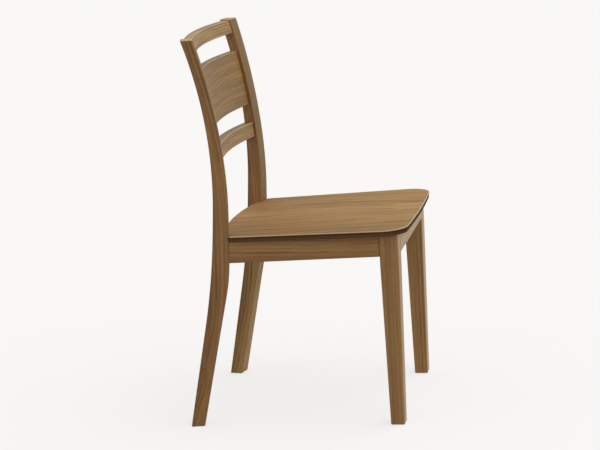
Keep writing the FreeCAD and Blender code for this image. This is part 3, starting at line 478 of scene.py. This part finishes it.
def loose_solids(name):
    """The corner points of each separate solid of a CAD node."""
    shape = bmesh.new()
    shape.from_mesh(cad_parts[name].data)
    bmesh.ops.remove_doubles(shape, verts=shape.verts, dist=0.01 * MM)
    waiting = dict.fromkeys(shape.verts)
    solids = []
    while waiting:
        found = [waiting.popitem()[0]]
        for vert in found:
            for edge in vert.link_edges:
                if edge.other_vert(vert) in waiting:
                    found.append(edge.other_vert(vert))
                    del waiting[found[-1]]
        solids.append(np.array([vert.co for vert in found]))
    shape.free()
    return solids


def stance(points):
    """The thick end of a long solid, the way from there to its other end, its length and its radius."""
    middle = points.mean(axis=0)
    axis = np.linalg.svd(points - middle)[2][0]
    along = (points - middle) @ axis
    outwards = np.linalg.norm(points - middle - np.outer(along, axis), axis=1)
    if along[outwards.argmax()] > 0 and outwards.max() > 1.2 * outwards.min():
        along, axis = -along, -axis
    return middle + axis * along.min(), axis, np.ptp(along), outwards.max()


def new_recipe(name, sizes):
    """An empty Geometry Nodes tree with a named input for each size, and those inputs."""
    tree = bpy.data.node_groups.new(name, "GeometryNodeTree")
    tree.interface.new_socket("Geometry", in_out="INPUT", socket_type="NodeSocketGeometry")
    for size, kind in sizes.items():
        tree.interface.new_socket(size, in_out="INPUT", socket_type=kind)
    tree.interface.new_socket("Geometry", in_out="OUTPUT", socket_type="NodeSocketGeometry")
    return tree, node(tree, "NodeGroupInput").outputs


def place_copies(tree, points, shape, finish):
    """End a recipe: a copy of the shape at each point, its z along the point's axis, in one finish."""
    axis = node(tree, "GeometryNodeInputNamedAttribute", {"Name": "axis"}, data_type="FLOAT_VECTOR")
    turn = node(tree, "FunctionNodeAlignRotationToVector", {"Vector": axis.outputs[0]}, axis="Z")
    copies = node(tree, "GeometryNodeInstanceOnPoints", {
        "Points": points, "Instance": shape, "Rotation": turn.outputs[0],
    })
    real = node(tree, "GeometryNodeRealizeInstances", {"Geometry": copies.outputs[0]})
    finished = node(tree, "GeometryNodeSetMaterial", {"Geometry": real.outputs[0], "Material": finish})
    node(tree, "NodeGroupOutput", {"Geometry": finished.outputs[0]})


def fluted_dowel():
    """A dowel with bevelled ends and flutes that let air and glue out of its hole."""
    tree, given = new_recipe("fluted_dowel", {
        "Length": SIZE, "Radius": SIZE, "Bevel": SIZE, "Flutes": COUNT, "Flute Depth": SIZE,
        "Finish": MATERIAL,
    })
    # A path of four points: both ends, and the two places where the bevels start.
    end = node(tree, "ShaderNodeCombineXYZ", {"Z": given["Length"]})
    path = node(tree, "GeometryNodeCurvePrimitiveLine", {"End": end.outputs[0]})
    path = node(tree, "GeometryNodeResampleCurve", {"Curve": path.outputs[0], "Count": 4})
    share = node(tree, "GeometryNodeSplineParameter").outputs["Factor"]
    inner = node(tree, "ShaderNodeMath", {0: share, 1: 0.5, 2: 0.25}, operation="COMPARE")
    half = node(tree, "ShaderNodeMath", {0: share, 1: 0.5}, operation="SUBTRACT")
    side = node(tree, "ShaderNodeMath", {0: half.outputs[0]}, operation="SIGN")
    third = node(tree, "ShaderNodeMath", {0: given["Length"], 1: 3}, operation="DIVIDE")
    reach = node(tree, "ShaderNodeMath", {0: third.outputs[0], 1: given["Bevel"]}, operation="SUBTRACT")
    shift = node(tree, "ShaderNodeMath", {0: side.outputs[0], 1: reach.outputs[0]}, operation="MULTIPLY")
    offset = node(tree, "ShaderNodeCombineXYZ", {"Z": shift.outputs[0]})
    path = node(tree, "GeometryNodeSetPosition", {
        "Geometry": path.outputs[0], "Selection": inner.outputs[0], "Offset": offset.outputs[0],
    })
    bevel = node(tree, "ShaderNodeMath", {0: given["Bevel"], 1: given["Radius"]}, operation="DIVIDE")
    least = node(tree, "ShaderNodeMath", {0: 1.0, 1: bevel.outputs[0]}, operation="SUBTRACT")
    girth = node(tree, "ShaderNodeMath", {
        0: inner.outputs[0], 1: bevel.outputs[0], 2: least.outputs[0],
    }, operation="MULTIPLY_ADD")
    # Every fourth point of the round section is pulled in for a flute.
    corners = node(tree, "ShaderNodeMath", {0: given["Flutes"], 1: 4}, operation="MULTIPLY")
    section = node(tree, "GeometryNodeCurvePrimitiveCircle", {
        "Resolution": corners.outputs[0], "Radius": given["Radius"],
    })
    turn = node(tree, "ShaderNodeMath", {
        0: node(tree, "GeometryNodeInputIndex").outputs[0], 1: 4,
    }, operation="MODULO")
    fluted = node(tree, "ShaderNodeMath", {0: turn.outputs[0], 1: 0.0, 2: 0.5}, operation="COMPARE")
    outwards = node(tree, "ShaderNodeVectorMath", {
        0: node(tree, "GeometryNodeInputPosition").outputs[0],
    }, operation="NORMALIZE")
    depth = node(tree, "ShaderNodeMath", {0: given["Flute Depth"], 1: -1}, operation="MULTIPLY")
    pulled = node(tree, "ShaderNodeVectorMath", {
        0: outwards.outputs[0], "Scale": depth.outputs[0],
    }, operation="SCALE")
    section = node(tree, "GeometryNodeSetPosition", {
        "Geometry": section.outputs["Curve"], "Selection": fluted.outputs[0], "Offset": pulled.outputs[0],
    })
    dowel = node(tree, "GeometryNodeCurveToMesh", {
        "Curve": path.outputs[0], "Profile Curve": section.outputs[0], "Scale": girth.outputs[0],
        "Fill Caps": True,
    })
    place_copies(tree, given["Geometry"], dowel.outputs[0], given["Finish"])
    return tree


def wood_screw():
    """A countersunk wood screw with a cross recess, a thread of diamond section and a sharp tip."""
    tree, given = new_recipe("wood_screw", {
        "Length": SIZE, "Radius": SIZE, "Head Height": SIZE, "Shank Radius": SIZE, "Core Radius": SIZE,
        "Tip": SIZE, "Pitch": SIZE, "Recess Width": SIZE, "Recess Slot": SIZE, "Recess Depth": SIZE,
        "Finish": MATERIAL,
    })
    shape = node(tree, "GeometryNodeMeshCone", {
        "Vertices": 40, "Radius Bottom": given["Radius"], "Radius Top": given["Shank Radius"],
        "Depth": given["Head Height"],
    }).outputs["Mesh"]
    twice = node(tree, "ShaderNodeMath", {0: given["Recess Depth"], 1: 2}, operation="MULTIPLY").outputs[0]
    for width, slot in (("Recess Width", "Recess Slot"), ("Recess Slot", "Recess Width")):
        size = node(tree, "ShaderNodeCombineXYZ", {"X": given[width], "Y": given[slot], "Z": twice})
        cutter = node(tree, "GeometryNodeMeshCube", {"Size": size.outputs[0]})
        shape = node(tree, "GeometryNodeMeshBoolean", {
            "Mesh 1": shape, "Mesh 2": cutter.outputs["Mesh"],
        }, operation="DIFFERENCE", solver="EXACT").outputs["Mesh"]

    below_head = node(tree, "ShaderNodeMath", {
        0: given["Length"], 1: given["Head Height"],
    }, operation="SUBTRACT")
    threaded = node(tree, "ShaderNodeMath", {0: below_head.outputs[0], 1: given["Tip"]}, operation="SUBTRACT")
    tip_start = node(tree, "ShaderNodeMath", {0: given["Length"], 1: given["Tip"]}, operation="SUBTRACT")
    depth = node(tree, "ShaderNodeMath", {
        0: given["Shank Radius"], 1: given["Core Radius"],
    }, operation="SUBTRACT")
    ridge = node(tree, "GeometryNodeCurvePrimitiveCircle", {"Resolution": 4, "Radius": depth.outputs[0]})
    point = node(tree, "ShaderNodeMath", {0: given["Core Radius"], 1: 0.15}, operation="MULTIPLY")
    parts = [shape]
    for start, height, top in (
        (given["Head Height"], threaded.outputs[0], given["Core Radius"]),
        (tip_start.outputs[0], given["Tip"], point.outputs[0]),
    ):
        place = node(tree, "ShaderNodeCombineXYZ", {"Z": start}).outputs[0]
        core = node(tree, "GeometryNodeMeshCone", {
            "Vertices": 24, "Radius Bottom": given["Core Radius"], "Radius Top": top, "Depth": height,
        })
        # A whole number of turns, so that the thread runs on into the tip.
        turns = node(tree, "ShaderNodeMath", {0: height, 1: given["Pitch"]}, operation="DIVIDE")
        whole = node(tree, "ShaderNodeMath", {0: turns.outputs[0]}, operation="FLOOR")
        helix = node(tree, "GeometryNodeCurveSpiral", {
            "Resolution": 20, "Rotations": whole.outputs[0], "Start Radius": given["Core Radius"],
            "End Radius": top, "Height": height,
        })
        share = node(tree, "GeometryNodeSplineParameter").outputs["Factor"]
        slimmer = node(tree, "ShaderNodeMath", {0: top, 1: given["Core Radius"]}, operation="DIVIDE")
        girth = node(tree, "ShaderNodeMapRange", {
            "Value": share, "To Min": 1.0, "To Max": slimmer.outputs[0],
        })
        thread = node(tree, "GeometryNodeCurveToMesh", {
            "Curve": helix.outputs[0], "Profile Curve": ridge.outputs["Curve"], "Scale": girth.outputs[0],
            "Fill Caps": True,
        })
        for part in (core.outputs["Mesh"], thread.outputs[0]):
            moved = node(tree, "GeometryNodeTransform", {"Geometry": part, "Translation": place})
            parts.append(moved.outputs[0])
    whole_screw = parts[0]
    for part in parts[1:]:
        joined = node(tree, "GeometryNodeJoinGeometry", {"Geometry": whole_screw})
        tree.links.new(part, joined.inputs["Geometry"])
        whole_screw = joined.outputs[0]
    place_copies(tree, given["Geometry"], whole_screw, given["Finish"])
    return tree


def fasten(recipe, replaced, slot, **sizes):
    """Make a group of fasteners where a CAD node has its plain ones, as long and as thick as those."""
    solids = [stance(points) for points in loose_solids(replaced)]
    mesh = bpy.data.meshes.new(replaced + "_made")
    mesh.from_pydata([start for start, *_ in solids], [], [])
    axes = mesh.attributes.new("axis", "FLOAT_VECTOR", "POINT")
    axes.data.foreach_set("vector", np.concatenate([axis for _, axis, *_ in solids]))
    piece = bpy.data.objects.new(replaced + "_made", mesh)
    bpy.context.scene.collection.objects.link(piece)
    modifier = piece.modifiers.new("recipe", "NODES")
    modifier.node_group = recipe
    sizes.update({"Length": float(solids[0][2]), "Radius": float(solids[0][3])})
    for socket in recipe.interface.items_tree:
        if socket.name in sizes:
            modifier[socket.identifier] = sizes[socket.name]
    evaluated = piece.evaluated_get(bpy.context.evaluated_depsgraph_get())
    made = bpy.data.meshes.new_from_object(evaluated)
    piece.modifiers.clear()
    piece.data = made
    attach(piece, "root")
    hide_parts(replaced)


dowel = fluted_dowel()
beech_across = timber("turned_beech_across", "X", (0, 0, 300), tones=BEECH, contrast=0.4, roughness=0.7)
beech_deep = timber("turned_beech_deep", "Y", (0, 0, 300), tones=BEECH, contrast=0.4, roughness=0.7)
for group in ("crest_rail", "back_panel", "lower_rail", "rear_apron", "front_apron", "side_apron"):
    beech = beech_deep if group == "side_apron" else beech_across
    fasten(dowel, group + "_dowels", "dowel_timber", **{
        "Bevel": 1.0 * MM, "Flutes": 14, "Flute Depth": 0.3 * MM, "Finish": beech,
    })

screw = wood_screw()
plated = zinc()
for group in ("corner_block_screws", "seat_screws"):
    fasten(screw, group, "screw_steel", **{
        "Head Height": 2.6 * MM, "Shank Radius": 1.95 * MM, "Core Radius": 1.35 * MM, "Tip": 4.5 * MM,
        "Pitch": 1.5 * MM, "Recess Width": 4.4 * MM, "Recess Slot": 0.9 * MM, "Recess Depth": 1.4 * MM,
        "Finish": plated,
    })


# ---- studio ----

STUDIO_WHITE = "#F9F8F6"


def seen_directly(tree):
    """1 on the way to the eye, straight or by a mirror or glass, and 0 for scattered light."""
    path = node(tree, "ShaderNodeLightPath").outputs
    seen = path["Is Camera Ray"]
    for way in ("Is Glossy Ray", "Is Transmission Ray"):
        seen = node(tree, "ShaderNodeMath", {0: seen, 1: path[way]}, operation="MAXIMUM").outputs[0]
    return seen


def studio_floor():
    """A pale seamless floor, self-lit in part where it is seen, so that the chair's shadow is faint.

    It throws less light back up at the chair than a white one would.
    """
    material, tree = new_material("pale_studio_floor")
    seen = seen_directly(tree)
    colour = node(tree, "ShaderNodeMix", {
        "Factor": seen, "A": linear("#9A9894"), "B": linear("#F6F5F5"),
    }, data_type="RGBA")
    lit = node(tree, "ShaderNodeBsdfDiffuse", {"Color": colour.outputs["Result"]})
    plain = node(tree, "ShaderNodeEmission", {"Color": linear(STUDIO_WHITE)})
    share = node(tree, "ShaderNodeMath", {0: seen, 1: 0.75}, operation="MULTIPLY")
    surface = node(tree, "ShaderNodeMixShader", {
        "Fac": share.outputs[0], 1: lit.outputs[0], 2: plain.outputs[0],
    })
    node(tree, "ShaderNodeOutputMaterial", {"Surface": surface.outputs[0]})
    half = 30
    corners = [(-half, -half, 0), (half, -half, 0), (half, half, 0), (-half, half, 0)]
    mesh = bpy.data.meshes.new("studio_floor")
    mesh.from_pydata(corners, [], [(0, 1, 2, 3)])
    mesh.materials.append(material)
    floor = bpy.data.objects.new("studio_floor", mesh)
    bpy.context.scene.collection.objects.link(floor)


def studio_world(strength):
    """Even white light from all round, and a near-white backdrop where it is seen."""
    world = bpy.data.worlds.new("studio")
    bpy.context.scene.world = world
    world.use_nodes = True
    tree = world.node_tree
    tree.nodes.clear()
    level = node(tree, "ShaderNodeMapRange", {
        "Value": seen_directly(tree), "To Min": strength, "To Max": 1.0,
    })
    light = node(tree, "ShaderNodeBackground", {"Color": linear(STUDIO_WHITE), "Strength": level.outputs[0]})
    node(tree, "ShaderNodeOutputWorld", {"Surface": light.outputs[0]})


def key_light(towards_light, level, spread):
    """A large soft lamp, as a sun whose disc is spread wide; level 1 renders a colour as written."""
    lamp = bpy.data.lights.new("key_light", "SUN")
    lamp.energy = level * math.pi
    lamp.angle = math.radians(spread)
    lamp_object = bpy.data.objects.new("key_light", lamp)
    lamp_object.rotation_mode = "QUATERNION"
    lamp_object.rotation_quaternion = Vector(towards_light).to_track_quat("Z", "Y")
    bpy.context.scene.collection.objects.link(lamp_object)


def camera(place, heading, down, roll, lens):
    """A long lens seen from the chair's right-hand side and a little above."""
    data = bpy.data.cameras.new("camera")
    data.lens = lens
    data.sensor_width = 36
    data.clip_end = 100
    made = bpy.data.objects.new("camera", data)
    heading, down, roll = (math.radians(angle) for angle in (heading, down, roll))
    level = math.cos(down)
    direction = Vector((level * math.cos(heading), level * math.sin(heading), -math.sin(down)))
    made.rotation_mode = "QUATERNION"
    made.rotation_quaternion = direction.to_track_quat("-Z", "Y") @ Quaternion((0, 0, 1), roll)
    made.location = place
    bpy.context.scene.collection.objects.link(made)
    bpy.context.scene.camera = made


studio_floor()
studio_world(strength=0.78)
key_light(towards_light=(0.0, -0.72, 0.70), level=0.42, spread=90)
camera(place=(-4.5178, -0.8793, 1.3587), heading=11.298, down=11.583, roll=-3.484, lens=121.353)
bpy.context.scene.view_settings.view_transform = "Standard"
